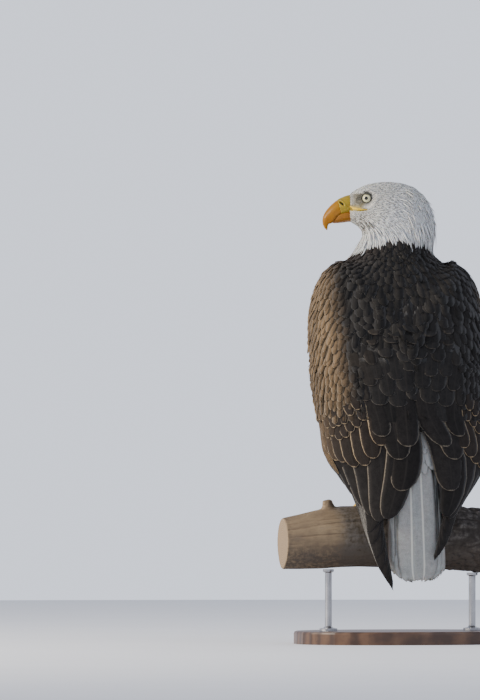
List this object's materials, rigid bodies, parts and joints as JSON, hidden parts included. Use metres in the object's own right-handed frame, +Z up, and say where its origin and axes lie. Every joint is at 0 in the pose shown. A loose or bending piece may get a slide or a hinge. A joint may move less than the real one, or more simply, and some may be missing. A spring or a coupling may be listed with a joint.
{
  "type": "bald eagle",
  "caption": "Life-size bald eagle perched with folded wings and head turned over its shoulder, on a short cut branch held by a plain display stand.",
  "frame": {"origin": "centre of the stand's underside, on the floor", "axes": "+Z up; the bird's breast faces -Y, its left is +X, and the branch runs along X"},
  "size_m": [0.41, 0.3061, 0.7864],
  "materials": {
    "head_feathers": "soft white feathers",
    "body_feathers": "dark brown contour feathers",
    "wing_feathers": "brown coverts with paler edges",
    "flight_feathers": "blackish flight feathers",
    "tail_feathers": "white tail feathers",
    "bill_horn": "orange-yellow horn, satin",
    "cere_skin": "yellow waxy skin",
    "eye": "pale cream iris, black pupil, wet gloss",
    "leg_scales": "yellow scaly skin",
    "claw_horn": "black horn, polished",
    "branch_wood": "bare weathered wood with some bark",
    "base_wood": "dark stained wood, satin",
    "rod_steel": "dark satin steel"
  },
  "bodies": {
    "root": {"head": "head_feathers", "neck": "head_feathers", "cere": "cere_skin", "bill_upper": "bill_horn", "bill_lower": "bill_horn", "eye_left": "eye", "eye_right": "eye", "trunk": "body_feathers", "tail": "tail_feathers", "wing_left": "wing_feathers", "wing_right": "wing_feathers", "wing_left_primaries": "flight_feathers", "wing_right_primaries": "flight_feathers", "thigh_left": "body_feathers", "thigh_right": "body_feathers", "tarsus_left": "leg_scales", "tarsus_right": "leg_scales", "perch_branch": "branch_wood", "stand_base": "base_wood", "stand_rod_left": "rod_steel", "stand_rod_right": "rod_steel", "toe_left_inner": "leg_scales", "claw_left_inner": "claw_horn", "toe_left_middle": "leg_scales", "claw_left_middle": "claw_horn", "toe_left_outer": "leg_scales", "claw_left_outer": "claw_horn", "toe_left_hind": "leg_scales", "claw_left_hind": "claw_horn", "toe_right_inner": "leg_scales", "claw_right_inner": "claw_horn", "toe_right_middle": "leg_scales", "claw_right_middle": "claw_horn", "toe_right_outer": "leg_scales", "claw_right_outer": "claw_horn", "toe_right_hind": "leg_scales", "claw_right_hind": "claw_horn"}
  },
  "joints": []
}
